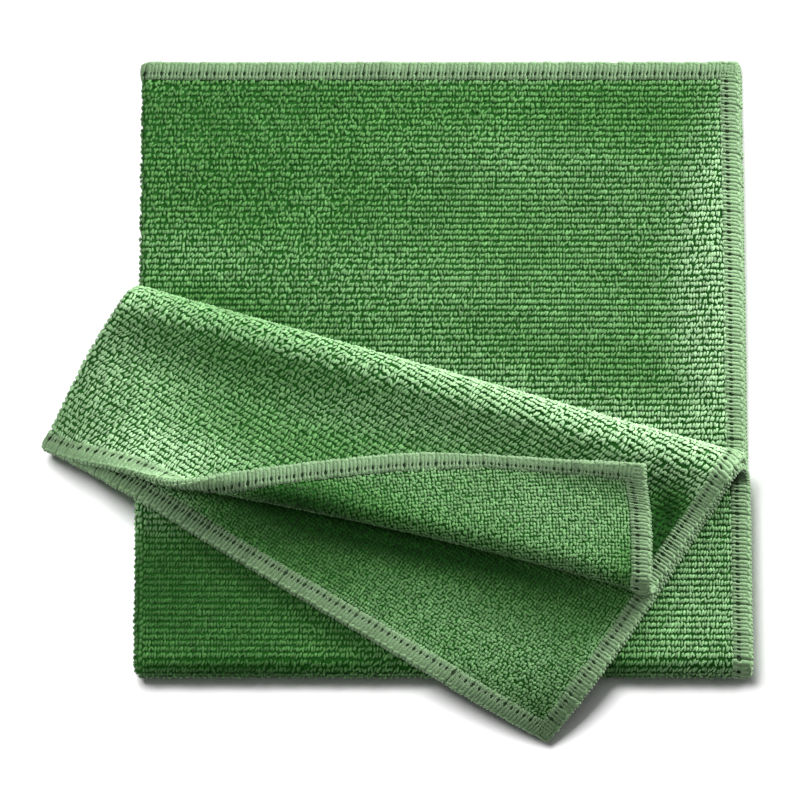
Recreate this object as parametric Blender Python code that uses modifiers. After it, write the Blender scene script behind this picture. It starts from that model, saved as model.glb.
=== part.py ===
# A square microfibre cleaning cloth, folded in quarters, with the two upper layers folded down
# over a slanting ridge and the corner of the topmost one turned back.
#
# The flat cloth has two coordinates, a across and q along. a = 0 is the first fold, the left edge
# of the folded cloth, and the two sides of it lie one on the other: a < 0 is the under layer of
# the pair and a > 0 the upper one. q = 0 is the hem at the far edge and q = SIDE the hem of the
# flap. All lengths are in metres and all turns in degrees.

import bmesh
import bpy
import numpy as np
from math import cos, hypot, pi, radians, sin

# The cloth
SIDE = 0.400  # cut square
THICK = 0.0024  # one layer, with the pile on both sides
PITCH = 0.0034  # from one lying layer to the next
FIRST_FOLD_OFF = 0.0005  # how far the first fold misses the middle

# The second fold, across the pair of layers, at the near edge
RUN_TO_FOLD = 0.2030  # hem to fold
FOLD_RUN = pi * PITCH  # cloth that goes round the fold

# The ridge, where the upper pair is folded down towards the near edge
RIDGE_SKEW = 16.0  # its right end lies nearer
RIDGE_AT = 0.1136  # from the near fold to the ridge, along the left edge
RIDGE_SECTION = (  # (length, turn) along the middle of the pair
    (0.0208, 200.0),
    (0.0068, 0.0),
    (0.0140, -20.0),
)
FLAP_SWING = 1.0  # the flap is turned a little more than the fold alone would turn it
SWING_AFTER, SWING_RUN = 0.020, 0.040  # from the ridge

# The flap hangs over the near edge and the left edge
EDGE_MARGIN = 0.0005
NEAR_DROOP = ((0.0302, -45.0),)  # (length, turn)
LEFT_DROOP = ((0.0172, -33.5),)
LEFT_DROOP_AFTER, LEFT_DROOP_RUN = 0.020, 0.030  # from the ridge
HEM_DRAW_IN = 0.027  # share of the width that the front hem gathers
DRAW_FROM = 0.290
BOW, BOW_FROM, BOW_WIDTH = 0.0006, 0.325, 0.060  # the first fold bellies out on the flap

# The upper flap layer stops short of the under one, except at the fold that joins them
SLIP, SLIP_RUN = 0.0065, 0.0474
MOUTH_RADIUS, MOUTH_DEPTH, MOUTH_RUN = 0.0033, 0.050, 0.0447  # the fold gapes at the front hem

# The turned-back corner of the upper flap layer, along a slightly curved line
TURN_START, TURN_END = (0.0, 0.4058), (0.199, 0.3368)  # (a, q)
TURN_SAG = 0.0043
TURN_SECTION = (  # (length, turn)
    (0.0131, 182.0),
    (0.0180, 0.0),
    (0.0080, -2.0),
)

# From the corner of the near and left folds to the middle of the whole outline
ORIGIN_X, ORIGIN_Y = 0.08362, 0.08789

CELL = 0.020  # flat grid before the fold lines are added
MERGE = 0.0004  # corners closer than this, where fold lines cross, become one
HANG_FROM = 0.012  # finer cells start this far inside the near and left edges


def along_section(distance, section):
    """Place and direction at a distance along a run of arcs and straight lengths."""
    left = distance.copy()
    across = np.zeros_like(distance)
    height = np.zeros_like(distance)
    angle = np.zeros_like(distance)
    start = np.zeros(3)  # across, height, angle
    endless = ((1.0, 0.0),)
    reached = np.ones(distance.shape, bool)
    for length, turn in section + endless:
        bend = radians(turn) / length
        u = np.clip(left, 0.0, length)
        points = []
        for run in (u, length):
            to = start[2] + bend * run
            if bend:
                points.append(start[0] + (np.sin(to) - sin(start[2])) / bend)
                points.append(start[1] - (np.cos(to) - cos(start[2])) / bend)
            else:
                points.append(start[0] + run * cos(start[2]))
                points.append(start[1] + run * sin(start[2]))
        across = np.where(reached, points[0], across)
        height = np.where(reached, points[1], height)
        angle = np.where(reached, start[2] + bend * u, angle)
        reached = reached & (left > length)
        left = left - length
        start = np.array((points[2], points[3], start[2] + radians(turn)))
    return across, height, angle


def ease(value):
    """0 to 1 with a soft start and end."""
    t = np.clip(value, 0.0, 1.0)
    return t * t * (3.0 - 2.0 * t)


def slip_at(width):
    """How much shorter the upper flap layer is, at a distance from the first fold."""
    return SLIP * ease(width / SLIP_RUN)


def first_fold(a, q):
    """Lays the two halves on each other: distance from the fold, and height in the pair."""
    opening = ease((q - (SIDE - MOUTH_DEPTH)) / MOUTH_DEPTH)
    radius = PITCH / 2 + (MOUTH_RADIUS - PITCH / 2) * opening
    phi = np.clip(np.abs(a) / radius, 0.0, pi / 2)
    over = np.clip(np.abs(a) - radius * pi / 2, 0.0, None)
    p = radius * (1.0 - np.cos(phi)) + over
    n = radius - PITCH / 2 + np.sign(a) * radius * np.sin(phi)
    gape = (2.0 * radius - PITCH) * (1.0 - ease(over / MOUTH_RUN))
    n = np.where((a > 0.0) & (over > 0.0), PITCH / 2 + gape, n)
    return p, n


def turn_back(p, q, n, upper):
    """Rolls the corner of the upper layer up and back over itself."""
    (x0, y0), (x1, y1) = TURN_START, TURN_END
    chord = hypot(x1 - x0, y1 - y0)
    side = ((y0 - y1) / chord, (x1 - x0) / chord)
    radius = chord**2 / (8 * TURN_SAG) + TURN_SAG / 2
    centre_p = (x0 + x1) / 2 + side[0] * (radius - TURN_SAG)
    centre_q = (y0 + y1) / 2 + side[1] * (radius - TURN_SAG)
    reach = np.hypot(p - centre_p, q - centre_q)
    past = radius - reach
    across, height, _ = along_section(np.clip(past, 0.0, None), TURN_SECTION)
    turned = upper & (past > 0.0)
    share = (radius - across) / reach
    p = np.where(turned, centre_p + (p - centre_p) * share, p)
    q = np.where(turned, centre_q + (q - centre_q) * share, q)
    n = np.where(turned, n + height, n)
    return p, q, n


def draw_in(p, q):
    """Gathers the width towards the front hem, and bellies out the first fold."""
    gather = np.clip((q - DRAW_FROM) / (SIDE - DRAW_FROM), 0.0, 1.0)
    belly = np.clip((q - BOW_FROM) / (SIDE - BOW_FROM), 0.0, 1.0)
    p = p * (1.0 - HEM_DRAW_IN * gather**2)
    return p - BOW * np.sin(pi * belly) * np.clip(1.0 - p / BOW_WIDTH, 0.0, 1.0)


def fold_pair(p, q, n):
    """The pair of layers along the floor, round the near fold, and over the ridge."""
    low = THICK / 2 + PITCH / 2
    high = low + 2 * PITCH
    turn = np.clip((q - RUN_TO_FOLD) / PITCH, 0.0, pi)
    back = np.clip(q - RUN_TO_FOLD - FOLD_RUN, 0.0, None)
    y = np.where(q < RUN_TO_FOLD, RUN_TO_FOLD - q, back - (PITCH - n) * np.sin(turn))
    z = np.where(q < RUN_TO_FOLD, low + n, low + PITCH - (PITCH - n) * np.cos(turn))
    skew = radians(RIDGE_SKEW)
    past = p * sin(skew) + (y - RIDGE_AT) * cos(skew)
    across, height, angle = along_section(np.clip(past, 0.0, None), RIDGE_SECTION)
    folded = (back > 0.0) & (past > 0.0)
    shift = np.where(folded, across - past + n * np.sin(angle), 0.0)
    x = p + shift * sin(skew)
    y = y + shift * cos(skew)
    z = np.where(folded, high + height - n * np.cos(angle), z)
    return x, y, z, np.where(back > 0.0, past, -1.0)


def hang(edge, level, past, section):
    """Bends what goes past an edge down: distance from the edge, and height."""
    across, height, angle = along_section(np.clip(past, 0.0, None), section)
    distance = across - (level - edge) * np.sin(angle)
    return distance, edge + height + (level - edge) * np.cos(angle)


def settle_flap(x, y, z, past_ridge):
    """Swings the flap a little and lets it hang over the near and left edges."""
    flap = past_ridge > SWING_AFTER
    swing = radians(FLAP_SWING) * ease((past_ridge - SWING_AFTER) / SWING_RUN)
    dy = y - RIDGE_AT
    x, y = (
        np.where(flap, x * np.cos(swing) - dy * np.sin(swing), x),
        np.where(flap, RIDGE_AT + x * np.sin(swing) + dy * np.cos(swing), y),
    )
    top = THICK / 2 + 4 * PITCH
    near, near_z = hang(top, z, EDGE_MARGIN - y, NEAR_DROOP)
    hanging = flap & (y < EDGE_MARGIN)
    y = np.where(hanging, EDGE_MARGIN - near, y)
    z = np.where(hanging, near_z, z)
    left, left_z = hang(top, z, EDGE_MARGIN - x, LEFT_DROOP)
    hanging = flap & (x < EDGE_MARGIN)
    share = np.where(hanging, ease((past_ridge - LEFT_DROOP_AFTER) / LEFT_DROOP_RUN), 0.0)
    x = x + (EDGE_MARGIN - left - x) * share
    z = z + (left_z - z) * share
    return x, y, z


def fold_cloth(a, q):
    """The place in the folded cloth of each point of the flat one."""
    p, n = first_fold(a, q)
    p, q, n = turn_back(p, q, n, a > 0.0)
    p = draw_in(p, q)
    x, y, z, past_ridge = fold_pair(p, q, n)
    x, y, z = settle_flap(x, y, z, past_ridge)
    return x - ORIGIN_X, y - ORIGIN_Y, z


def cut(flat, point, direction, keep=None):
    """Adds a straight line of edges through a point, on the faces that keep() picks."""
    faces = [f for f in flat.faces if keep is None or keep(f.calc_center_median())]
    edges = {e for f in faces for e in f.edges}
    corners = {v for f in faces for v in f.verts}
    bmesh.ops.bisect_plane(
        flat,
        geom=list(corners) + list(edges) + faces,
        dist=1e-6,
        plane_co=(point[0], point[1], 0.0),
        plane_no=(-direction[1], direction[0], 0.0),
    )


def hanging_edges(flat):
    """The edges of the flap that come to lie past the near or the left edge."""
    found = []
    for edge in flat.edges:
        middle = (edge.verts[0].co + edge.verts[1].co) / 2
        x, y, z = fold_cloth(np.array([middle.x]), np.array([middle.y]))
        past = x[0] < HANG_FROM - ORIGIN_X or y[0] < HANG_FROM - ORIGIN_Y
        if middle.y > RUN_TO_FOLD + FOLD_RUN + CELL and past and edge.calc_length() > CELL / 3:
            found.append(edge)
    return found


def steps(section, arc_parts):
    """Distances along a section where it wants an edge."""
    at = [0.0]
    for (length, _), parts in zip(section, arc_parts):
        at += [at[-1] + length * (i + 1) / parts for i in range(parts)]
    return at


def flat_cloth():
    """The cut cloth, with its front hem trimmed and edges wherever it will fold."""
    flat = bmesh.new()
    parts = round(SIDE / CELL)
    bmesh.ops.create_grid(flat, x_segments=parts, y_segments=parts, size=SIDE / 2)
    bmesh.ops.translate(flat, verts=flat.verts, vec=(0.0, SIDE / 2, 0.0))
    edges = [v for v in flat.verts if abs(v.co.x) > SIDE / 2 - CELL / 2]
    bmesh.ops.translate(flat, verts=edges, vec=(-FIRST_FOLD_OFF, 0.0, 0.0))

    for width in (0.0, 0.0009, 0.0018, 0.0027, 0.0039, 0.0052):  # the first fold
        for a in {width, -width}:
            cut(flat, (a, 0.0), (0.0, 1.0))
    for i in range(9):  # the near fold
        cut(flat, (0.0, RUN_TO_FOLD + FOLD_RUN * i / 8), (1.0, 0.0))

    skew = radians(RIDGE_SKEW)
    ridge_q = RUN_TO_FOLD + FOLD_RUN + RIDGE_AT
    for at in steps(RIDGE_SECTION, (10, 1, 3)):  # the ridge, slanting on both halves
        q = ridge_q + at / cos(skew)
        cut(flat, (0.0, q), (cos(skew), -sin(skew)), keep=lambda c: c.x > 0.0)
        cut(flat, (0.0, q), (cos(skew), sin(skew)), keep=lambda c: c.x < 0.0)

    (x0, y0), (x1, y1) = TURN_START, TURN_END
    chord = hypot(x1 - x0, y1 - y0)
    band = TURN_SECTION[0][0] + TURN_SAG
    for i in range(12):  # the turned corner's roll
        past = band * i / 11 - 0.0004
        point = (x0 + (y0 - y1) / chord * past, y0 + (x1 - x0) / chord * (past - TURN_SAG))
        cut(flat, point, (x1 - x0, y1 - y0), keep=lambda c: c.x > 0.0)

    ends = [SLIP_RUN * i / 5 for i in range(6)] + [SIDE / 2]
    for a in ends[1:-1]:
        cut(flat, (a, 0.0), (0.0, 1.0), keep=lambda c: c.y > SIDE - CELL)
    beyond = []
    for a, b in zip(ends, ends[1:]):  # the upper layer's front hem
        (q0, q1) = (SIDE - slip_at(np.array((a, b)))).tolist()
        slope = (q1 - q0) / (b - a)
        cut(flat, (a, q0), (b - a, q1 - q0), keep=lambda c: a < c.x < b)
        for face in flat.faces:
            centre = face.calc_center_median()
            if a < centre.x < b and centre.y > q0 + slope * (centre.x - a):
                beyond.append(face)
    bmesh.ops.delete(flat, geom=beyond, context="FACES")

    bmesh.ops.remove_doubles(flat, verts=flat.verts, dist=MERGE)
    bmesh.ops.subdivide_edges(flat, edges=hanging_edges(flat), cuts=1, use_grid_fill=True)
    bmesh.ops.triangulate(flat, faces=flat.faces)
    return flat


def fabric(name, colour, roughness):
    """A plain woven finish."""
    material = bpy.data.materials.new(name)
    material.use_nodes = True
    shader = material.node_tree.nodes["Principled BSDF"]
    shader.inputs["Base Color"].default_value = (*colour, 1.0)
    shader.inputs["Roughness"].default_value = roughness
    shader.inputs["Metallic"].default_value = 0.0
    material.diffuse_color = (*colour, 1.0)
    return material


def build_cloth(collection):
    """The whole cloth as one thick sheet."""
    flat = flat_cloth()
    a = np.array([v.co.x for v in flat.verts])
    q = np.array([v.co.y for v in flat.verts])
    for vertex, place in zip(flat.verts, zip(*fold_cloth(a, q))):
        vertex.co = place
    mesh = bpy.data.meshes.new("cloth")
    flat.to_mesh(mesh)
    flat.free()
    mesh.shade_smooth()
    mesh.materials.append(fabric("green_terry", (0.065, 0.19, 0.052), 0.95))
    cloth = bpy.data.objects.new("cloth", mesh)
    collection.objects.link(cloth)
    body = cloth.modifiers.new("Thickness", "SOLIDIFY")
    body.thickness = THICK
    body.offset = 0.0
    return cloth


def main():
    for old in list(bpy.data.objects):
        bpy.data.objects.remove(old)
    collection = bpy.data.collections.new("microfibre_cloth")
    bpy.context.scene.collection.children.link(collection)
    build_cloth(collection)


main()
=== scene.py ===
from math import cos, hypot, pi, radians, sin

import bmesh
import bpy
import numpy as np
from mathutils import Matrix, Vector
from mathutils.bvhtree import BVHTree


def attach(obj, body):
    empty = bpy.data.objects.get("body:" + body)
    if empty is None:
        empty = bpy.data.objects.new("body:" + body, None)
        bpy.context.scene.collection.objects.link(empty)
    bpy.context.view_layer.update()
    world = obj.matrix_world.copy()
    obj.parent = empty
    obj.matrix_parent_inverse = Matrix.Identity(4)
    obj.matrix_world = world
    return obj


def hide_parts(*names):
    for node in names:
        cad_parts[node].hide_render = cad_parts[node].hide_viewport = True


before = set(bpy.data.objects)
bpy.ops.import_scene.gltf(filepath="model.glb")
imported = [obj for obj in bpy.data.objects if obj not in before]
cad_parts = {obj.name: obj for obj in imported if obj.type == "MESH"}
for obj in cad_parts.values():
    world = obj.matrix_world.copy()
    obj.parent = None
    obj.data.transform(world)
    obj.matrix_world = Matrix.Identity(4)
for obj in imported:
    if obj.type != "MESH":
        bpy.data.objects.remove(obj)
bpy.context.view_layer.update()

# A folded terry cloth. The flat cloth has two coordinates: a across, with the first fold at 0 and
# the under layer at a < 0, and b along, from the far hem at 0 to the flap's hem at side. Metres.

clothCut = {
    "side": 0.400,
    "foldOff": 0.0005,  # the first fold misses the middle
    "layerPitch": 0.0034,
    "solidThickness": 0.0024,  # of the frame's layer
    "hemWidth": 0.0057,
}
nearFold = {"at": 0.2030}
ridge = {
    "skew": 16.0,
    "at": 0.1136,  # from the near fold
    "section": ((0.0208, 200.0), (0.0068, 0.0), (0.0140, -20.0)),  # (length, turn)
}
flap = {
    "swing": 1.0,
    "swingAfter": 0.020,
    "swingRun": 0.040,
    "edgeMargin": 0.0005,
    "nearDroop": ((0.0302, -45.0),),
    "leftDroop": ((0.0172, -33.5),),
    "leftAfter": 0.020,
    "leftRun": 0.030,
    "drawIn": 0.027,
    "drawFrom": 0.290,
    "bow": 0.0006,
    "bowFrom": 0.325,
    "bowWidth": 0.060,
    "slip": 0.0065,  # the upper layer ends short of the under one
    "slipRun": 0.0474,
    "slipFrom": 0.012,
    "slipOver": 0.050,
    "mouthRadius": 0.0033,
    "mouthDepth": 0.050,
    "mouthRun": 0.0447,
}
turnedCorner = {
    "start": (0.0, 0.4058),
    "end": (0.199, 0.3368),
    "sag": 0.0043,
    "section": ((0.0131, 182.0), (0.0180, 0.0), (0.0080, -2.0)),
}
outlineMiddle = (0.08362, 0.08789)  # from the corner of the near and left folds


def alongSection(distance, section):
    # place and direction after a run of arcs and straights
    left = distance.copy()
    across = np.zeros_like(distance)
    height = np.zeros_like(distance)
    angle = np.zeros_like(distance)
    startAcross, startHeight, startAngle = 0.0, 0.0, 0.0
    reached = np.ones(distance.shape, bool)
    for length, turn in section + ((1.0, 0.0),):
        bend = radians(turn) / length
        ends = []
        for run in (np.clip(left, 0.0, length), length):
            to = startAngle + bend * run
            if bend:
                ends.append(startAcross + (np.sin(to) - sin(startAngle)) / bend)
                ends.append(startHeight - (np.cos(to) - cos(startAngle)) / bend)
            else:
                ends.append(startAcross + run * cos(startAngle))
                ends.append(startHeight + run * sin(startAngle))
        across = np.where(reached, ends[0], across)
        height = np.where(reached, ends[1], height)
        angle = np.where(reached, startAngle + bend * np.clip(left, 0.0, length), angle)
        reached = reached & (left > length)
        left = left - length
        startAcross, startHeight, startAngle = ends[2], ends[3], startAngle + radians(turn)
    return across, height, angle


def ease(value):
    t = np.clip(value, 0.0, 1.0)
    return t * t * (3.0 - 2.0 * t)


def slipAt(width, b):
    slipped = flap["slip"] * ease(width / flap["slipRun"])
    return slipped * ease((b - nearFold["at"] - flap["slipFrom"]) / flap["slipOver"])


def firstFold(a, q):
    pitch = clothCut["layerPitch"]
    opening = ease((q - (clothCut["side"] - flap["mouthDepth"])) / flap["mouthDepth"])
    radius = pitch / 2 + (flap["mouthRadius"] - pitch / 2) * opening
    phi = np.clip(np.abs(a) / radius, 0.0, pi / 2)
    over = np.clip(np.abs(a) - radius * pi / 2, 0.0, None)
    p = radius * (1.0 - np.cos(phi)) + over
    n = radius - pitch / 2 + np.sign(a) * radius * np.sin(phi)
    gape = (2.0 * radius - pitch) * (1.0 - ease(over / flap["mouthRun"]))
    return p, np.where((a > 0.0) & (over > 0.0), pitch / 2 + gape, n)


def turnBack(p, q, n, upper):
    (p0, q0), (p1, q1) = turnedCorner["start"], turnedCorner["end"]
    chord = hypot(p1 - p0, q1 - q0)
    sag = turnedCorner["sag"]
    radius = chord**2 / (8 * sag) + sag / 2
    centreP = (p0 + p1) / 2 + (q0 - q1) / chord * (radius - sag)
    centreQ = (q0 + q1) / 2 + (p1 - p0) / chord * (radius - sag)
    reach = np.hypot(p - centreP, q - centreQ)
    past = radius - reach
    across, height, _ = alongSection(np.clip(past, 0.0, None), turnedCorner["section"])
    turned = upper & (past > 0.0)
    share = (radius - across) / reach
    p, q = (
        np.where(turned, centreP + (p - centreP) * share, p),
        np.where(turned, centreQ + (q - centreQ) * share, q),
    )
    return p, q, np.where(turned, n + height, n)


def drawIn(p, q):
    gather = np.clip((q - flap["drawFrom"]) / (clothCut["side"] - flap["drawFrom"]), 0.0, 1.0)
    belly = np.clip((q - flap["bowFrom"]) / (clothCut["side"] - flap["bowFrom"]), 0.0, 1.0)
    p = p * (1.0 - flap["drawIn"] * gather**2)
    return p - flap["bow"] * np.sin(pi * belly) * np.clip(1.0 - p / flap["bowWidth"], 0.0, 1.0)


def foldPair(p, q, n):
    pitch = clothCut["layerPitch"]
    low = clothCut["solidThickness"] / 2 + pitch / 2
    run = nearFold["at"]
    turn = np.clip((q - run) / pitch, 0.0, pi)
    back = np.clip(q - run - pi * pitch, 0.0, None)
    y = np.where(q < run, run - q, back - (pitch - n) * np.sin(turn))
    z = np.where(q < run, low + n, low + pitch - (pitch - n) * np.cos(turn))
    skew = radians(ridge["skew"])
    past = p * sin(skew) + (y - ridge["at"]) * cos(skew)
    across, height, angle = alongSection(np.clip(past, 0.0, None), ridge["section"])
    folded = (back > 0.0) & (past > 0.0)
    shift = np.where(folded, across - past + n * np.sin(angle), 0.0)
    z = np.where(folded, low + 2 * pitch + height - n * np.cos(angle), z)
    pastRidge = np.where(back > 0.0, past, -1.0)
    return p + shift * sin(skew), y + shift * cos(skew), z, pastRidge


def hang(edge, level, past, section):
    across, height, angle = alongSection(np.clip(past, 0.0, None), section)
    return across - (level - edge) * np.sin(angle), edge + height + (level - edge) * np.cos(angle)


def settleFlap(x, y, z, pastRidge):
    onFlap = pastRidge > flap["swingAfter"]
    swing = radians(flap["swing"]) * ease((pastRidge - flap["swingAfter"]) / flap["swingRun"])
    dy = y - ridge["at"]
    x, y = (
        np.where(onFlap, x * np.cos(swing) - dy * np.sin(swing), x),
        np.where(onFlap, ridge["at"] + x * np.sin(swing) + dy * np.cos(swing), y),
    )
    margin = flap["edgeMargin"]
    top = clothCut["solidThickness"] / 2 + 4 * clothCut["layerPitch"]
    reach, level = hang(top, z, margin - y, flap["nearDroop"])
    hanging = onFlap & (y < margin)
    y = np.where(hanging, margin - reach, y)
    z = np.where(hanging, level, z)
    reach, level = hang(top, z, margin - x, flap["leftDroop"])
    share = ease((pastRidge - flap["leftAfter"]) / flap["leftRun"])
    share = np.where(onFlap & (x < margin), share, 0.0)
    return x + (margin - reach - x) * share, y, z + (level - z) * share


def foldCloth(a, b):
    # the middle of the layer, from flat coordinates
    q = np.where(a > 0.0, b - slipAt(np.abs(a), b), b)
    p, n = firstFold(a, q)
    p, q, n = turnBack(p, q, n, a > 0.0)
    p = drawIn(p, q)
    x, y, z, pastRidge = foldPair(p, q, n)
    x, y, z = settleFlap(x, y, z, pastRidge)
    place = np.stack((x - outlineMiddle[0], y - outlineMiddle[1], z), axis=-1)
    return crease(place)


# soft ridges over the lowest layer: (x, y, length, width, direction, lift)
creases = (
    (-0.072, 0.078, 0.040, 0.012, 6.0, 0.0008),
    (0.020, 0.082, 0.070, 0.010, -3.0, 0.0006),
    (0.106, 0.040, 0.052, 0.009, 88.0, 0.0022),
    (-0.035, 0.040, 0.060, 0.014, -8.0, 0.0007),
    (0.045, 0.030, 0.050, 0.013, -14.0, 0.0006),
    (-0.066, -0.026, 0.026, 0.011, -12.0, 0.0012),
    (0.000, -0.070, 0.050, 0.014, -30.0, 0.0008),
    (-0.084, -0.037, 0.036, 0.013, -9.0, 0.0036),
    (-0.100, 0.006, 0.026, 0.011, 72.0, 0.0014),
)
creaseHighlight = 0.0042  # the lift at which a raised crease gets its full painted highlight
# painted light and shade on the pile, paler where light falls and darker where shade falls, on the
# upper layers (a > 0) and the under ones (a < 0): (x, y, length, width, direction, amount)
upperLightAndShade = (
    (-0.088, -0.004, 0.036, 0.024, 100.0, 0.58),
    (-0.074, -0.026, 0.034, 0.010, -12.0, 0.50),
    (0.010, -0.012, 0.050, 0.008, -8.0, 0.40),
    (-0.030, 0.000, 0.040, 0.014, -14.0, 0.08),
    (0.062, -0.045, 0.030, 0.020, -15.0, 0.30),
    (0.020, -0.036, 0.040, 0.012, -5.0, 0.20),
    (0.030, 0.002, 0.050, 0.012, -16.0, 0.50),
    (0.088, -0.018, 0.030, 0.012, -18.0, 0.80),
    (0.100, -0.025, 0.018, 0.012, -18.0, 1.20),
    (0.086, -0.050, 0.018, 0.0065, 68.0, -1.60),
    (-0.037, -0.037, 0.026, 0.006, -13.0, -1.30),
    (0.104, 0.035, 0.050, 0.011, 88.0, 0.90),
    (-0.066, 0.031, 0.030, 0.010, -18.0, -0.25),
    (-0.074, 0.050, 0.022, 0.022, 0.0, 0.10),
    (0.020, 0.060, 0.050, 0.020, 0.0, 0.08),
    (0.078, 0.062, 0.034, 0.026, 90.0, 0.18),
    (-0.060, 0.088, 0.050, 0.026, 0.0, -0.30),
    (0.090, 0.098, 0.030, 0.020, 0.0, -0.15),
)
underLightAndShade = (
    (0.100, -0.072, 0.036, 0.020, 90.0, 0.55),
    (0.045, -0.092, 0.022, 0.014, -30.0, 0.30),
    (-0.070, -0.072, 0.042, 0.022, -35.0, -0.50),
    (-0.050, -0.046, 0.036, 0.010, -22.0, -0.50),
    (-0.020, -0.045, 0.040, 0.006, -15.0, -1.40),
    (0.030, -0.058, 0.040, 0.004, -15.0, -0.90),
    (-0.030, -0.114, 0.120, 0.005, 0.0, -1.00),
)


def softSum(rows, x, y):
    total = np.zeros_like(x)
    for cx, cy, length, width, direction, amount in rows:
        c, s = cos(radians(direction)), sin(radians(direction))
        along = ((x - cx) * c + (y - cy) * s) / length
        across = ((y - cy) * c - (x - cx) * s) / width
        total += amount * np.exp(-along * along - across * across)
    return total


def crease(place):
    x, y, z = place[..., 0], place[..., 1], place[..., 2]
    lift = softSum(creases, x, y)
    lowest = clothCut["solidThickness"] / 2
    loose = np.clip((z - lowest) / clothCut["layerPitch"], 0.0, 1.0)
    return np.stack((x, y, z + lift * loose), axis=-1)


def unit(vectors):
    return vectors / np.maximum(np.linalg.norm(vectors, axis=-1, keepdims=True), 1e-9)


def clothFrame(a, b):
    # place, unit directions along a and b, and the normal on the inner face
    step = 0.0002
    alongA = unit(foldCloth(a + step, b) - foldCloth(a - step, b))
    alongB = unit(foldCloth(a, b + step) - foldCloth(a, b - step))
    return foldCloth(a, b), alongA, alongB, unit(np.cross(alongA, alongB))


def edgeDistance(a, b):
    half = clothCut["side"] / 2
    middle = a + clothCut["foldOff"]
    return np.minimum(half - np.abs(middle), np.minimum(b, clothCut["side"] - b))


# Shader building


class Wire:
    # a node's output that Python's signs work on
    def __init__(self, finish, socket):
        self.finish, self.socket = finish, socket

    def maths(self, operation, *values):
        inputs = dict(enumerate(values))
        return self.finish.node("ShaderNodeMath", {"operation": operation}, inputs)

    def __add__(self, other):
        return self.maths("ADD", self, other)

    def __radd__(self, other):
        return self.maths("ADD", other, self)

    def __sub__(self, other):
        return self.maths("SUBTRACT", self, other)

    def __rsub__(self, other):
        return self.maths("SUBTRACT", other, self)

    def __mul__(self, other):
        return self.maths("MULTIPLY", self, other)

    def __rmul__(self, other):
        return self.maths("MULTIPLY", other, self)

    def smaller(self, other):
        return self.maths("MINIMUM", self, other)

    def larger(self, other):
        return self.maths("MAXIMUM", self, other)


class Finish:
    # one material, with its fixed values on the shader's own sockets
    def __init__(self, name, colour, values):
        self.material = bpy.data.materials.new(name)
        self.material.use_nodes = True
        self.material.diffuse_color = (*colour, 1.0)
        self.tree = self.material.node_tree
        self.shader = self.tree.nodes["Principled BSDF"]
        for key, value in values.items():
            self.plug(self.shader.inputs[key], value)

    def plug(self, socket, value):
        if isinstance(value, Wire):
            self.tree.links.new(value.socket, socket)
        else:
            socket.default_value = value

    def node(self, kind, settings=None, inputs=None, output=0):
        made = self.tree.nodes.new(kind)
        for key, value in (settings or {}).items():
            setattr(made, key, value)
        for key, value in (inputs or {}).items():
            self.plug(made.inputs[key], value)
        return Wire(self, made.outputs[output])

    def objectPlace(self):
        return self.node("ShaderNodeTexCoord", output="Object")

    def noise(self, scale, detail):
        inputs = {"Vector": self.objectPlace(), "Scale": scale, "Detail": detail}
        return self.node("ShaderNodeTexNoise", {}, inputs)

    def attribute(self, name):
        return self.node("ShaderNodeAttribute", {"attribute_name": name}, output="Fac")

    def spread(self, value, low, high, toLow=0.0, toHigh=1.0):
        inputs = {"Value": value, "From Min": low, "From Max": high}
        inputs.update({"To Min": toLow, "To Max": toHigh})
        return self.node("ShaderNodeMapRange", {"interpolation_type": "SMOOTHSTEP"}, inputs)

    def mixed(self, factor, first, second):
        # a Mix node's colour sockets are its seventh and eighth inputs
        inputs = {0: factor, 6: first, 7: second}
        return self.node("ShaderNodeMix", {"data_type": "RGBA"}, inputs, output=2)

    def scaled(self, colour, factor):
        settings = {"operation": "SCALE"}
        return self.node("ShaderNodeVectorMath", settings, {0: colour, "Scale": factor})

    def bump(self, height, strength, distance):
        inputs = {"Height": height, "Strength": strength, "Distance": distance}
        self.plug(self.shader.inputs["Normal"], self.node("ShaderNodeBump", {}, inputs))

    def colour(self, value):
        self.plug(self.shader.inputs["Base Color"], value)
        return self.material


pileLook = {
    # root: painted shade at the loops' feet and in the gaps between them
    "root": (0.007, 0.070, 0.003, 1.0),
    "tip": (0.064, 0.180, 0.046, 1.0),
    "pale": (0.095, 0.228, 0.074, 1.0),
    # the pale colour of opened loops and of painted highlights
    "brushedAndPaintedLight": (0.255, 0.420, 0.220, 1.0),
    "paintedLightRoot": 0.60,  # share of the pale colour, for opened loops and painted highlights, that reaches the roots
    "tipFrom": 0.30,  # of a loop's height
    "tipFull": 0.80,
    "mottleScale": 38.0,
    "mottle": 0.22,
    "paleFrom": 0.50,  # of the mottle
    "paleFull": 0.72,
    "paleMost": 0.45,
    "toneSpread": 0.22,
    # how much darker the painted shade makes the pile
    "paintedShadeMost": 0.50,
    "fibreScale": 2600.0,
    "fibreBump": (0.35, 0.0002),  # strength, distance
}
terryShader = {
    "Roughness": 0.70,
    "Sheen Weight": 0.16,
    "Sheen Roughness": 0.45,
    "Sheen Tint": (0.78, 1.0, 0.70, 1.0),
    "Specular IOR Level": 0.12,
}
sheetLook = {
    # knit: almost black-green, painted shade between the loops
    "knit": (0.007, 0.069, 0.004, 1.0),
    # slot: painted shade along the needle line of the edging
    "slot": (0.045, 0.095, 0.036, 1.0),
    "hem": (0.100, 0.165, 0.084, 1.0),
    "hemFade": (1.02, 0.93),  # of the hem's width, from the edge
    "slotFade": (0.52, 0.62),
    "knitScale": 900.0,
    "knitShade": (0.75, 0.50),  # least shade, and what the noise adds
    "knitBump": (0.5, 0.0004),
}
threadLook = {
    "thread": (0.125, 0.205, 0.105, 1.0),
    "shade": (0.088, 0.154, 0.073, 1.0),
    "toneSpread": 0.16,
    "plyScale": 1500.0,
    "plyFade": (0.35, 0.65),
    "plyBump": (0.4, 0.0002),
}


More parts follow.
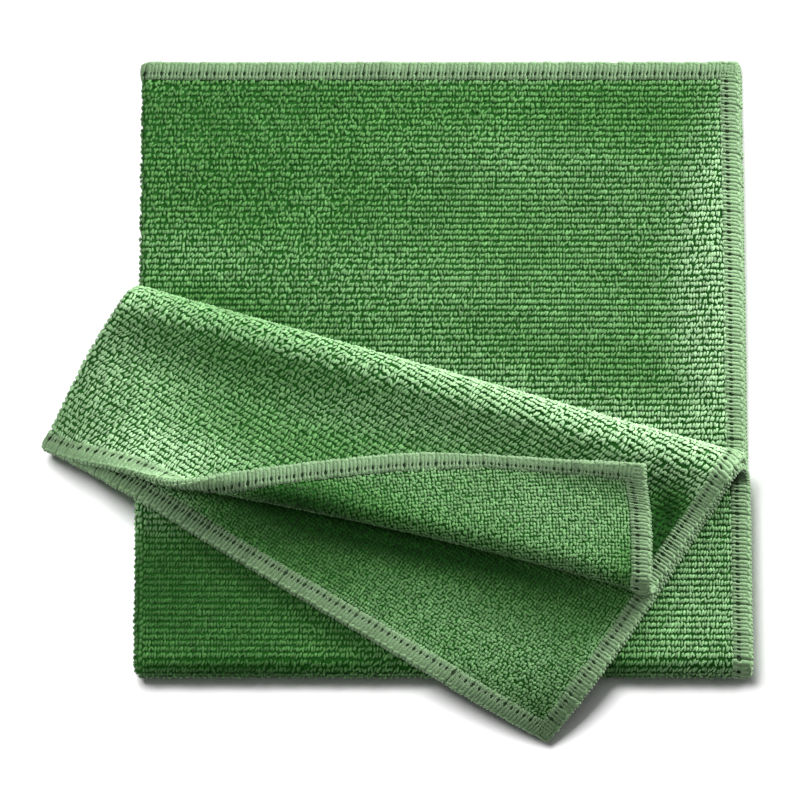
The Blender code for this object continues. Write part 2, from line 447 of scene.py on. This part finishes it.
def pileFinish():
    look = pileLook
    finish = Finish("terryPile", look["tip"][:3], terryShader)
    # loops go from the root colour at their feet to the tip colour: painted shade at the feet
    tip = finish.spread(finish.attribute("tip"), look["tipFrom"], look["tipFull"])
    mottle = finish.noise(look["mottleScale"], 3.0)
    green = finish.mixed(tip, look["root"], look["tip"])
    pale = finish.spread(mottle, look["paleFrom"], look["paleFull"], 0.0, look["paleMost"])
    green = finish.mixed(pale * tip, green, look["pale"])
    # paler where loops open, and painted highlights from the marks
    brushedAndPaintedLight = finish.attribute("brushedAndPaintedLight")
    reach = look["paintedLightRoot"] + (1.0 - look["paintedLightRoot"]) * tip
    green = finish.mixed(brushedAndPaintedLight.larger(0.0) * reach, green, look["brushedAndPaintedLight"])
    # painted shade: negative marks turn the pile towards the root colour and darker
    paintedShade = 0.0 - brushedAndPaintedLight.smaller(0.0)
    green = finish.mixed(paintedShade, green, look["root"])
    shade = 1.0 + finish.attribute("tone") * look["toneSpread"]
    shade = (shade + (mottle - 0.5) * look["mottle"]) * (1.0 - paintedShade * look["paintedShadeMost"])
    finish.bump(finish.noise(look["fibreScale"], 1.0), *look["fibreBump"])
    return finish.colour(finish.scaled(green, shade))


def sheetFinish():
    # knit under the pile, coloured almost black-green as painted shade between the loops, and packed
    # thread under the edging
    look = sheetLook
    values = dict(terryShader, **{"Sheen Weight": 0.0})
    finish = Finish("terryGround", look["knit"][:3], values)
    flat = finish.node("ShaderNodeUVMap", {"uv_map": "OFBake"})
    apart = finish.node("ShaderNodeSeparateXYZ", {}, {"Vector": flat})
    u, v = apart, Wire(finish, apart.socket.node.outputs["Y"])
    toEdge = u.smaller(1.0 - u).smaller(v.smaller(1.0 - v))
    width = clothCut["hemWidth"] / clothCut["side"]
    inHem = finish.spread(toEdge, *(width * share for share in look["hemFade"]))
    # a strip of painted shade along the needle line
    slot = finish.spread(toEdge, *(width * share for share in look["slotFade"]))
    knit = finish.noise(look["knitScale"], 2.0)
    hem = finish.mixed(slot, look["hem"], look["slot"])
    colour = finish.mixed(inHem, look["knit"], hem)
    finish.bump(knit, *look["knitBump"])
    least, more = look["knitShade"]
    return finish.colour(finish.scaled(colour, least + knit * more))


def threadFinish():
    look = threadLook
    values = dict(terryShader, **{"Roughness": 0.55, "Sheen Weight": 0.25})
    finish = Finish("hemThread", look["thread"][:3], values)
    ply = finish.noise(look["plyScale"], 1.5)
    colour = finish.mixed(finish.spread(ply, *look["plyFade"]), look["shade"], look["thread"])
    finish.bump(ply, *look["plyBump"])
    return finish.colour(finish.scaled(colour, 1.0 + finish.attribute("tone") * look["toneSpread"]))


# The sheet

sheetMesh = {
    "cell": 0.0033,
    "thickness": 0.0012,
    "roundFirstFold": (0.0009, 0.0018, 0.0027, 0.0039, 0.0052),  # finer columns, from the fold
    "nearFoldParts": 9,
}


def flatLines():
    side, cell = clothCut["side"], sheetMesh["cell"]
    left, right = -side / 2 - clothCut["foldOff"], side / 2 - clothCut["foldOff"]
    close = sheetMesh["roundFirstFold"]
    firstAway = close[-1] + cell / 2
    outer = np.linspace(firstAway, right, round((right - firstAway) / cell))
    inner = np.linspace(left, -firstAway, round((-firstAway - left) / cell))
    across = [*inner, *(-w for w in reversed(close)), 0.0, *close, *outer]
    start, run = nearFold["at"], pi * clothCut["layerPitch"]
    before = np.linspace(0.0, start, round(start / cell), endpoint=False)
    fold = np.linspace(start, start + run, sheetMesh["nearFoldParts"], endpoint=False)
    after = np.linspace(start + run, side, round((side - start - run) / cell))
    return np.array(across), np.concatenate((before, fold, after))


def makeSheet(finish):
    across, along = flatLines()
    grid = bmesh.new()
    bmesh.ops.create_grid(grid, x_segments=len(across) - 1, y_segments=len(along) - 1, size=1.0)
    grid.verts.ensure_lookup_table()
    place = np.array([v.co for v in grid.verts])
    columns = np.rint((place[:, 0] + 1.0) / 2.0 * (len(across) - 1)).astype(int)
    rows = np.rint((place[:, 1] + 1.0) / 2.0 * (len(along) - 1)).astype(int)
    a, b = across[columns], along[rows]
    folded = foldCloth(a, b)
    uvLayer = grid.loops.layers.uv.new("OFBake")
    u = (a + clothCut["side"] / 2 + clothCut["foldOff"]) / clothCut["side"]
    v = b / clothCut["side"]
    for vertex, point in zip(grid.verts, folded.tolist()):
        vertex.co = point
    for face in grid.faces:
        for corner in face.loops:
            i = corner.vert.index
            corner[uvLayer].uv = (u[i], v[i])
    mesh = bpy.data.meshes.new("cloth_sheet")
    grid.to_mesh(mesh)
    tree = BVHTree.FromBMesh(grid)
    grid.free()
    mesh.shade_smooth()
    mesh.materials.append(finish)
    sheet = bpy.data.objects.new("cloth_sheet", mesh)
    bpy.context.collection.objects.link(sheet)
    solid = sheet.modifiers.new("Thickness", "SOLIDIFY")
    solid.thickness = sheetMesh["thickness"]
    solid.offset = 0.0
    return sheet, tree


# Many small shapes joined into one mesh


def templateOf(shape):
    # vertices, faces and the vertices' normals of a bmesh
    shape.normal_update()
    shape.verts.index_update()
    points = np.array([v.co for v in shape.verts])
    normals = np.array([v.normal for v in shape.verts])
    faces = [[v.index for v in f.verts] for f in shape.faces]
    shape.free()
    return points, faces, normals


def ballMap(points, faces):
    # opens a small ball out into a disc round its top, one place for each corner
    corners = []
    for face in faces:
        middle = points[face].mean(axis=0)
        for i in face:
            point = unit(points[i])
            side = point[:2] if abs(point[2]) < 0.99 else middle[:2] * (point[2] < 0)
            length = np.linalg.norm(side)
            angle = np.arccos(np.clip(point[2], -1.0, 1.0)) / pi
            corners.append(side / max(length, 1e-9) * angle)
    return np.array(corners)


def joinedCopies(name, faces, points, cornerMap, attributes, finish, facing):
    # points is (copies, template's vertices, 3), cornerMap (copies, corners, 2)
    copies, size = points.shape[:2]
    starts = np.cumsum([0] + [len(f) for f in faces])
    corners = np.array([i for f in faces for i in f])
    offsets = np.arange(copies)[:, None]
    mesh = bpy.data.meshes.new(name)
    mesh.vertices.add(copies * size)
    mesh.loops.add(copies * len(corners))
    mesh.polygons.add(copies * len(faces))
    mesh.vertices.foreach_set("co", points.astype(np.float32).ravel())
    mesh.loops.foreach_set("vertex_index", (corners + offsets * size).ravel())
    mesh.polygons.foreach_set("loop_start", (starts[:-1] + offsets * len(corners)).ravel())
    mesh.update(calc_edges=True)
    mesh.shade_smooth()
    mesh.uv_layers.new(name="OFBake")
    mesh.uv_layers["OFBake"].data.foreach_set("uv", cornerMap.astype(np.float32).ravel())
    for key, values in attributes.items():
        held = mesh.attributes.new(key, "FLOAT", "POINT")
        held.data.foreach_set("value", values.astype(np.float32).ravel())
    mesh.normals_split_custom_set_from_vertices(facing.reshape(-1, 3).tolist())
    mesh.materials.append(finish)
    piece = bpy.data.objects.new(name, mesh)
    bpy.context.collection.objects.link(piece)
    return piece


def fittedMap(flatMap):
    # the used part of the map fills a unit square inside a small margin
    margin = 0.01
    low = flatMap.reshape(-1, 2).min(axis=0)
    span = (flatMap.reshape(-1, 2).max(axis=0) - low).max()
    return margin + (1.0 - 2.0 * margin) * (flatMap - low) / span


# The pile

outerPile = {
    "rowPitch": 0.00200,
    "loopPitch": 0.00096,
    "half": (0.00046, 0.00098, 0.00062),  # along the row, across it, height
    "rootShare": 0.05,  # how pale a loop's foot is, out of its tip; below the tip the loop carries painted shade towards its foot
    "tone": 0.0,
    "centre": 0.00088,  # above the middle of the sheet
    "lean": 18.0,  # degrees from square to the row
    "leanSpread": 17.0,
    "shift": 0.00018,
    "sizeSpread": 0.15,
    "napShare": 0.64,  # how far the loops take their shading from the sheet
    "openedAndLitMost": 0.50,  # where a fold opens the loops, paler partly from the opened loops and partly as a painted highlight on the fold
}
innerPile = {
    "rowPitch": 0.00120,
    "loopPitch": 0.00102,
    "half": (0.00048, 0.00066, 0.00044),
    "rootShare": 0.35,
    "tone": -0.45,
    "centre": 0.00080,
    "lean": 12.0,
    "leanSpread": 30.0,
    "shift": 0.00015,
    "sizeSpread": 0.15,
    "napShare": 0.62,
    "openedAndLitMost": 0.40,
}
# the lowest layer's loops, pressed flat
pressedPile = dict(outerPile, loopPitch=0.00190, half=(0.00090, 0.00096, 0.00064))
everyPile = {
    "tiltSpread": 0.30,
    "liftSpread": 0.00008,
    "toneSpread": 0.6,
    "sizeLimits": (0.6, 1.5),
    "openLimits": (0.9, 1.5),
    "lowest": 0.0002,  # above the floor
    "mapShare": 0.95,
}
# the flap's outer loops lie closer and carry less painted shade at their feet
flapPile = {
    "from": 0.315,
    "over": 0.020,
    "grown": (-0.03, 0.05, -0.15),
    "leanLess": 0.50,
    "rootMore": 0.32,
}
ruffles = {
    "least": 0.75,
    "wave": 0.35,
    "farLeft": 0.90,
    "farLeftSize": (0.11, 0.07),
    "flap": 0.15,
}
brushingAndLight = {
    "openFrom": 1.05,  # times wider than flat
    "openOver": 0.55,
    "foldsFrom": 0.250,  # the lower folds get none of the paler opened loops
    "besideHem": 0.30,
    "hemReach": 0.0018,
}
exposure = {
    "cell": 0.004,
    "offSheet": 0.0010,
    "leastCosine": 0.05,
    "sky": ((50.0, 6), (22.0, 8), (3.0, 8)),  # height angle, directions round
}
groupsAt = {"flapFront": 0.345, "underFold": 0.312, "insideReach": 0.014}


def spreadAt(a, b, reach, alongRow=False):
    # how far a fold opens the loops on one face, across the rows or along them
    step = 0.0005
    stepA, stepB = (step, 0.0) if alongRow else (0.0, step)
    before, after = clothFrame(a - stepA, b - stepB), clothFrame(a + stepA, b + stepB)
    apart = (after[0] + after[3] * reach) - (before[0] + before[3] * reach)
    return np.linalg.norm(apart, axis=-1) / (2 * step)


def onFlapAt(b):
    return ease((b - flapPile["from"]) / flapPile["over"])


def ruffle(a, b):
    # patches where the rows are less straight, most at the far left
    wave = np.sin(43.0 * a + 1.9 * np.sin(31.0 * b) + 0.8) * np.cos(37.0 * b + 0.7)
    reachA, reachB = ruffles["farLeftSize"]
    farLeft = np.exp(-((np.abs(a) / reachA) ** 2) - (b / reachB) ** 2)
    rough = ruffles["least"] + ruffles["wave"] * wave + ruffles["farLeft"] * farLeft
    return rough + ruffles["flap"] * onFlapAt(b)


# painted light and shade from the marks, with a painted highlight where a crease lifts the cloth
def paintedLightAt(place, a):
    x, y = place[..., 0], place[..., 1]
    marks = np.where(a > 0.0, softSum(upperLightAndShade, x, y), softSum(underLightAndShade, x, y))
    return marks + softSum(creases, x, y) / creaseHighlight


def brushedAndPaintedLightAt(place, a, b, face, style):
    # paler pile where a fold opens the loops, partly a painted highlight; painted light and shade from
    # the marks; paler beside the hem
    opened = spreadAt(a, b, face * style["centre"]) - brushingAndLight["openFrom"]
    opened = ease(opened / brushingAndLight["openOver"]) * (b > brushingAndLight["foldsFrom"])
    onTop = np.clip(face * np.sign(clothFrame(a, b)[3][..., 2]), 0.0, 1.0)
    fromHem = np.clip(edgeDistance(a, b) - clothCut["hemWidth"], 0.0, 1.0)
    nearHem = brushingAndLight["besideHem"] * np.exp(-fromHem / brushingAndLight["hemReach"])
    brushedAndPaintedLight = opened * style["openedAndLitMost"] + paintedLightAt(place, a) * onTop + nearHem
    return np.clip(brushedAndPaintedLight, -1.0, 1.0)


def ballTemplate(flat):
    ball = bmesh.new()
    bmesh.ops.create_uvsphere(ball, u_segments=4 if flat else 5, v_segments=2, radius=1.0)
    return templateOf(ball)


def skyDirections():
    directions = [Vector((0.0, 0.0, 1.0))]
    for lift, count in exposure["sky"]:
        for i in range(count):
            turn = 2 * pi * (i + lift / 100.0) / count
            flatPart = cos(radians(lift))
            directions.append(
                Vector((flatPart * cos(turn), flatPart * sin(turn), sin(radians(lift))))
            )
    return directions


def openTo(tree, point, normal, directions):
    for direction in directions:
        outward = direction.dot(normal) > exposure["leastCosine"]
        if outward and tree.ray_cast(point, direction)[0] is None:
            return True
    return False


def openCells(tree, face):
    # which flat cells of one face can be seen from outside, a little widened
    cell = exposure["cell"]
    half = clothCut["side"] / 2
    count = round(clothCut["side"] / cell)
    a, b = np.meshgrid(
        np.linspace(-half, half, count, endpoint=False) + cell / 2 - clothCut["foldOff"],
        np.linspace(0.0, 2 * half, count, endpoint=False) + cell / 2,
        indexing="ij",
    )
    place, _, _, normal = clothFrame(a, b)
    normal = normal * face
    start = place + normal * exposure["offSheet"]
    directions = skyDirections()
    seen = np.zeros(a.shape, bool)
    for i in range(count):
        for j in range(count):
            point, facing = Vector(start[i, j]), Vector(normal[i, j])
            seen[i, j] = openTo(tree, point, facing, directions)
    wide = seen.copy()
    wide[1:] |= seen[:-1]
    wide[:-1] |= seen[1:]
    wide[:, 1:] |= seen[:, :-1]
    wide[:, :-1] |= seen[:, 1:]
    return wide


def loopPlaces(style, rng):
    # rows of loops at an even distance over the folded sheet
    side, half = clothCut["side"], clothCut["side"] / 2
    loops = np.arange(style["loopPitch"] / 2, side, style["loopPitch"]) - half
    fine = np.linspace(0.0, side, 401)
    gridA, gridB = np.meshgrid(loops, fine, indexing="ij")
    spread = spreadAt(gridA, gridB, 0.0)
    runs = np.cumsum(spread, axis=1) * (fine[1] - fine[0])
    placed = []
    for loop, run in zip(loops, runs - runs[:, :1]):
        rows = np.arange(style["rowPitch"] / 2, run[-1], style["rowPitch"])
        placed.append(np.stack((np.full(rows.shape, loop), np.interp(rows, run, fine)), axis=-1))
    a, b = np.concatenate(placed).T
    shift = style["shift"] * ruffle(a, b)
    a = a - clothCut["foldOff"] + rng.normal(0.0, 1.0, a.shape) * shift
    b = b + rng.normal(0.0, 1.0, b.shape) * shift
    return a, b


def makePile(name, style, face, a, b, finish, rng, pressed=False):
    points, faces, _ = ballTemplate(pressed)
    corners = ballMap(points, faces)
    pile = everyPile
    place, alongA, alongB, normal = clothFrame(a, b)
    normal = normal * face
    size = 1.0 + rng.normal(0.0, style["sizeSpread"], (len(a), 3))
    size = np.clip(size, *pile["sizeLimits"]) * np.array(style["half"])
    onFlap = onFlapAt(b)
    size *= 1.0 + onFlap[:, None] * np.array(flapPile["grown"])
    for column, alongRow in ((0, True), (1, False)):
        opened = spreadAt(a, b, face * style["centre"], alongRow)
        opened = opened / spreadAt(a, b, 0.0, alongRow)
        size[:, column] *= np.clip(opened, *pile["openLimits"])
    lean = radians(style["lean"]) * (1.0 - flapPile["leanLess"] * onFlap)
    lean = lean + rng.normal(0.0, radians(style["leanSpread"]), len(a))
    tilt = rng.normal(0.0, pile["tiltSpread"], (len(a), 2))
    c, s = np.cos(lean)[:, None], np.sin(lean)[:, None]
    axisX = (alongA * c + alongB * s) * face  # keeps the copies right-handed on both faces
    axisY = alongB * c - alongA * s
    axisZ = unit(normal + axisX * tilt[:, :1] + axisY * tilt[:, 1:])
    local = points[None] * size[:, None, :]
    lift = style["centre"] + rng.normal(0.0, pile["liftSpread"], len(a))
    made = place[:, None] + normal[:, None] * lift[:, None, None]
    made = made + local[..., :1] * axisX[:, None] + local[..., 1:2] * axisY[:, None]
    made = made + local[..., 2:] * axisZ[:, None]
    made[..., 2] = np.maximum(made[..., 2], pile["lowest"])
    slope = points[None] / size[:, None, :]
    facing = slope[..., :1] * axisX[:, None] + slope[..., 1:2] * axisY[:, None]
    facing = unit(facing + slope[..., 2:] * axisZ[:, None])
    facing = unit(facing * (1.0 - style["napShare"]) + normal[:, None] * style["napShare"])
    # painted shade: each loop is coloured darker towards its foot
    rootShare = style["rootShare"] + flapPile["rootMore"] * onFlap[:, None] * (face < 0)
    tip = rootShare + (1.0 - rootShare) * (points[None, :, 2] + 1.0) / 2.0
    tone = rng.normal(style["tone"], pile["toneSpread"], (len(a), 1))
    tone = np.repeat(tone, len(points), axis=1)
    spread = corners[None] * np.array(style["half"])[:2] * pile["mapShare"]
    flatMap = np.stack((a, b), axis=-1)[:, None] + spread
    brushedAndPaintedLight = np.repeat(brushedAndPaintedLightAt(place, a, b, face, style)[:, None], len(points), axis=1)
    held = {"tip": tip, "tone": tone, "brushedAndPaintedLight": brushedAndPaintedLight}
    return joinedCopies(name, faces, made, fittedMap(flatMap), held, finish, facing)


def pilePieces(tree, finish):
    rng = np.random.default_rng(7)
    cell = exposure["cell"]
    front, fold = groupsAt["flapFront"], groupsAt["underFold"]
    pieces = []
    foldEnd = nearFold["at"] + pi * clothCut["layerPitch"] / 2
    kinds = (("outer", outerPile, -1.0), ("inner", innerPile, 1.0), ("outer", pressedPile, -1.0))
    for word, style, face in kinds:
        a, b = loopPlaces(style, rng)
        fromEdge = edgeDistance(a, b)
        inside = fromEdge > clothCut["hemWidth"] - 0.0001
        a, b, fromEdge = a[inside], b[inside], fromEdge[inside]
        under = (a < 0.0) & (b < foldEnd)
        if style is pressedPile:
            groups = {"underside": under}
        else:
            cells = openCells(tree, face)
            i = (a + clothCut["foldOff"] + clothCut["side"] / 2) / cell
            i, j = (np.clip(v, 0, len(cells) - 1).astype(int) for v in (i, b / cell))
            seen = cells[i, j]
            groups = {
                "pad": (a >= 0.0) & (b < foldEnd) & seen,
                "flap_back": (a >= 0.0) & (b >= foldEnd) & (b < front) & seen,
                "flap_front": (a >= 0.0) & (b >= front) & seen,
                "front": (a < 0.0) & (b >= foldEnd) & (b < fold) & seen,
                "fold": (a < 0.0) & (b >= fold) & seen,
            }
            if word == "inner":
                groups["pad_inside"] = under & seen & (fromEdge < groupsAt["insideReach"])
        for group, chosen in groups.items():
            name = f"pile_{word}_{group}"
            pressed = style is pressedPile
            made = makePile(name, style, face, a[chosen], b[chosen], finish, rng, pressed)
            print("   ", name, int(chosen.sum()), "loops")
            pieces.append(made)
    return pieces


# The overlocked edging, worked out flat: u along the edge, v in from the edge, h off the sheet

edging = {
    "pitch": 0.00250,
    "threads": (  # (u in pitches, v, h, half width) from the needle line round to the other face
        (-0.23, 0.00610, 0.00080, 0.00058),
        (-0.24, 0.00500, 0.00116, 0.00066),
        (-0.18, 0.00445, 0.00118, 0.00044),
        (-0.18, 0.00385, 0.00124, 0.00044),
        (-0.24, 0.00310, 0.00138, 0.00067),
        (-0.25, 0.00180, 0.00136, 0.00069),
        (-0.25, 0.00060, 0.00104, 0.00068),
    ),
    "round": (-0.00035, 0.00070),  # v and half width where the thread rounds the edge
    "slant": 0.22,  # of the pitch, from the needle line to the edge
    "halfHeight": 0.00034,
    "chainAt": (0.00060, 0.00105),  # v, h
    "chainHalf": (0.00148, 0.00062, 0.00052),  # along, across, height
    "chainTurn": 12.0,
    "shake": 0.00010,
    "heightSpread": 0.05,
    "napShare": 0.45,
    "chainTone": 1.6,
    "paintedLightTone": 2.2,
    "toneSpread": 0.35,
    "mapStep": 0.0026,  # on the stitches' flat map, from part to part
    "mapColumns": 16,
    "mapShelf": (0.024, 0.009),  # from stitch to stitch
}


def threadTemplate(side):
    # one thread over the edge, as a four-sided tube round a path
    rows = edging["threads"]
    pitch = edging["pitch"]
    slant = edging["slant"] * pitch / clothCut["hemWidth"]
    over = [(u * side * pitch + slant * v, v, h, w) for u, v, h, w in rows]
    under = [(u * side * pitch - slant * v, v, -h, w) for u, v, h, w in reversed(rows)]
    past, pastHalf = edging["round"]
    path = over + [(rows[-1][0] * side * pitch, past, 0.0, pastHalf)] + under
    tube = bmesh.new()
    rings = []
    for i, (u, v, h, w) in enumerate(path):
        before, after = path[max(i - 1, 0)], path[min(i + 1, len(path) - 1)]
        ahead = Vector((0.0, after[1] - before[1], after[2] - before[2])).normalized()
        up = Vector((1.0, 0.0, 0.0)).cross(ahead)
        made = bmesh.ops.create_circle(tube, segments=4, radius=1.0)["verts"]
        turn = Matrix(((w, 0, 0), (0, edging["halfHeight"], 0), (0, 0, 1)))
        for vertex in made:
            across, lift, _ = turn @ vertex.co
            vertex.co = Vector((u + across, v, h)) + up * lift
        rings.append(made)
    for pair in zip(rings, rings[1:]):
        edges = {e for ring in pair for v in ring for e in v.link_edges}
        inRings = [e for e in edges if any(all(v in ring for v in e.verts) for ring in pair)]
        bmesh.ops.bridge_loops(tube, edges=inRings)
    for ring in (rings[0], rings[-1]):
        tube.faces.new(ring)
    bmesh.ops.recalc_face_normals(tube, faces=tube.faces)
    return templateOf(tube)


def chainTemplate(face):
    ball = bmesh.new()
    bmesh.ops.create_icosphere(ball, subdivisions=1, radius=1.0)
    v, h = edging["chainAt"]
    size = Matrix.Diagonal((*edging["chainHalf"], 1.0))
    turn = Matrix.Rotation(radians(edging["chainTurn"] * face), 4, "Z")
    place = Matrix.Translation((0.0, v, h * face)) @ turn @ size
    bmesh.ops.transform(ball, matrix=place, verts=ball.verts)
    return templateOf(ball)


def stitchTemplate():
    points, faces, normals, tones, corners = [], [], [], [], []
    parts = [threadTemplate(1.0), threadTemplate(-1.0), chainTemplate(1.0), chainTemplate(-1.0)]
    for index, (partPoints, partFaces, partNormals) in enumerate(parts):
        start = sum(len(p) for p in points)
        points.append(partPoints)
        normals.append(partNormals)
        tones += [edging["chainTone"] if index > 1 else 0.0] * len(partPoints)
        faces += [[i + start for i in f] for f in partFaces]
        centre = partPoints.mean(axis=0)
        for face in partFaces:
            first, second, third = (partPoints[i] for i in face[:3])
            back = len(parts) if np.cross(second - first, third - first)[2] < 0 else 0
            for i in face:
                corner = partPoints[i][0] - centre[0] + edging["mapStep"] * (index + back)
                corners.append((corner, partPoints[i][1]))
    points, normals = np.concatenate(points), np.concatenate(normals)
    return points, faces, normals, np.array(tones), np.array(corners)


def makeEdging(name, start, end, inward, finish, rng):
    # a row of stitches between two corners of the flat cloth
    points, faces, normals, tones, corners = stitchTemplate()
    start, end, inward = (np.array(v) for v in (start, end, inward))
    length = np.linalg.norm(end - start)
    along = (end - start) / length
    count = round(length / edging["pitch"])
    at = (np.arange(count) + 0.5) * length / count + rng.normal(0.0, edging["shake"], count)
    local = np.repeat(points[None], count, axis=0)
    local[..., 1] += rng.normal(0.0, edging["shake"], (count, 1))
    local[..., 2] *= 1.0 + rng.normal(0.0, edging["heightSpread"], (count, 1))
    flat = start + along * (at[:, None] + local[..., 0])[..., None] + inward * local[..., 1:2]
    place, alongA, alongB, normal = clothFrame(flat[..., 0], flat[..., 1])
    made = place + normal * local[..., 2:]
    made[..., 2] = np.maximum(made[..., 2], everyPile["lowest"])
    axisX, axisY = (alongA * v[0] + alongB * v[1] for v in (along, inward))
    facing = axisX * normals[:, :1] + axisY * normals[:, 1:2] + normal * normals[:, 2:]
    nap = np.sign(normals[:, 2:]) * edging["napShare"]
    facing = unit(facing * (1.0 - edging["napShare"]) + normal * nap)
    # the hem takes the painted highlights of the marks as paler thread
    marks = np.clip(paintedLightAt(place, flat[..., 0]), 0.0, 1.0) * edging["paintedLightTone"]
    tone = tones + rng.normal(0.0, edging["toneSpread"], (count, 1)) + marks
    row, column = np.divmod(np.arange(count), edging["mapColumns"])
    shelf = np.stack((column, row), axis=-1) * np.array(edging["mapShelf"])
    flatMap = corners[None] + shelf[:, None]
    return joinedCopies(name, faces, made, fittedMap(flatMap), {"tone": tone}, finish, facing)


def edgingPieces(finish):
    rng = np.random.default_rng(11)
    side, off = clothCut["side"], clothCut["foldOff"]
    left, right = -side / 2 - off, side / 2 - off
    rows = {
        "hem_far": ((left, 0.0), (right, 0.0), (0.0, 1.0)),
        "hem_front": ((right, side), (left, side), (0.0, -1.0)),
        "hem_under_side": ((left, side), (left, 0.0), (1.0, 0.0)),
        "hem_upper_side": ((right, 0.0), (right, side), (-1.0, 0.0)),
    }
    return [makeEdging(name, *row, finish, rng) for name, row in rows.items()]


# Floor, light and camera

studio = {
    "target": (0.0018, 0.0002, 0.0),
    "tilt": 13.44,
    "distance": 1.700,
    "lens": 231.3,
    "world": 0.04,
    "floorSize": 6.0,
    "floorColour": (0.95, 0.95, 0.95, 1.0),
}
# turn from the back towards the left, height angle, distance and size; level is the light that a
# white sheet facing the box would send back
softboxes = (
    {"name": "key_low", "turn": -50.0, "height": 16.0, "far": 1.7, "size": (0.9, 0.5), "level": 2.2},
    {"name": "key_high", "turn": -32.0, "height": 32.0, "far": 1.7, "size": (0.9, 0.8), "level": 1.6},
    {"name": "top_box", "turn": 0.0, "height": 86.0, "far": 2.4, "size": (1.2, 1.2), "level": 0.33},
    {"name": "left_box", "turn": 90.0, "height": 30.0, "far": 1.7, "size": (1.0, 0.8), "level": 0.85},
)
floorBoxes = (
    {"name": "floor_back", "turn": 38.0, "height": 67.0, "far": 2.4, "size": (1.1, 0.8), "level": 1.18},
    {"name": "floor_wash", "turn": 0.0, "height": 84.0, "far": 2.4, "size": (2.0, 2.0), "level": 0.20},
)


def makeFloor():
    floorMesh = bmesh.new()
    bmesh.ops.create_grid(floorMesh, x_segments=1, y_segments=1, size=studio["floorSize"] / 2)
    mesh = bpy.data.meshes.new("floor")
    floorMesh.to_mesh(mesh)
    floorMesh.free()
    paper = {"Base Color": studio["floorColour"], "Roughness": 1.0, "Specular IOR Level": 0.0}
    mesh.materials.append(Finish("floorPaper", studio["floorColour"][:3], paper).material)
    floor = bpy.data.objects.new("floor", mesh)
    bpy.context.collection.objects.link(floor)
    return floor


def collectionOf(name, members):
    made = bpy.data.collections.new(name)
    for member in members:
        made.objects.link(member)
    return made


def makeBox(look):
    turn, height = radians(look["turn"]), radians(look["height"])
    towards = Vector((-sin(turn) * cos(height), cos(turn) * cos(height), sin(height)))
    lamp = bpy.data.lights.new(look["name"], "AREA")
    lamp.shape = "RECTANGLE"
    lamp.size, lamp.size_y = look["size"]
    lamp.energy = look["level"] * (pi * look["far"]) ** 2
    box = bpy.data.objects.new(look["name"], lamp)
    box.location = Vector(studio["target"]) + towards * look["far"]
    box.rotation_euler = towards.to_track_quat("Z", "Y").to_euler()
    bpy.context.collection.objects.link(box)
    return box


def makeLights(pieces, floor):
    # the cloth and the floor have their own boxes; the hems and the finer loops shade no floor
    lit = collectionOf("lit_cloth", pieces)
    paper = collectionOf("lit_floor", [floor])
    solid = ("cloth_sheet", "pile_outer_pad", "pile_outer_front", "pile_outer_underside")
    shading = collectionOf("shading_floor", [piece for piece in pieces if piece.name in solid])
    for look in softboxes:
        makeBox(look).light_linking.receiver_collection = lit
    for look in floorBoxes:
        box = makeBox(look)
        box.light_linking.receiver_collection = paper
        box.light_linking.blocker_collection = shading
    world = bpy.data.worlds.new("studio")
    world.use_nodes = True
    world.node_tree.nodes["Background"].inputs["Color"].default_value = (1.0, 1.0, 1.0, 1.0)
    world.node_tree.nodes["Background"].inputs["Strength"].default_value = studio["world"]
    bpy.context.scene.world = world


def makeCamera():
    lens = bpy.data.cameras.new("camera")
    lens.lens = studio["lens"]
    lens.clip_start = 0.05
    camera = bpy.data.objects.new("camera", lens)
    tilt = radians(studio["tilt"])
    away = Vector((0.0, -sin(tilt), cos(tilt))) * studio["distance"]
    camera.location = Vector(studio["target"]) + away
    camera.rotation_euler = (tilt, 0.0, 0.0)
    bpy.context.collection.objects.link(camera)
    bpy.context.scene.camera = camera
    bpy.context.scene.view_settings.view_transform = "Standard"
    bpy.context.scene.view_settings.look = "None"


floor = makeFloor()
makeCamera()
print("floor and camera ready")
sheet, tree = makeSheet(sheetFinish())
print("sheet folded")
threads = edgingPieces(threadFinish())
print("edging sewn")
loops = pilePieces(tree, pileFinish())
print("pile set")
makeLights([sheet, *threads, *loops], floor)
print("lights set")

for piece in (sheet, *loops):
    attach(piece, "root")
for piece in threads:
    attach(piece, "root")
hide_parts("cloth")
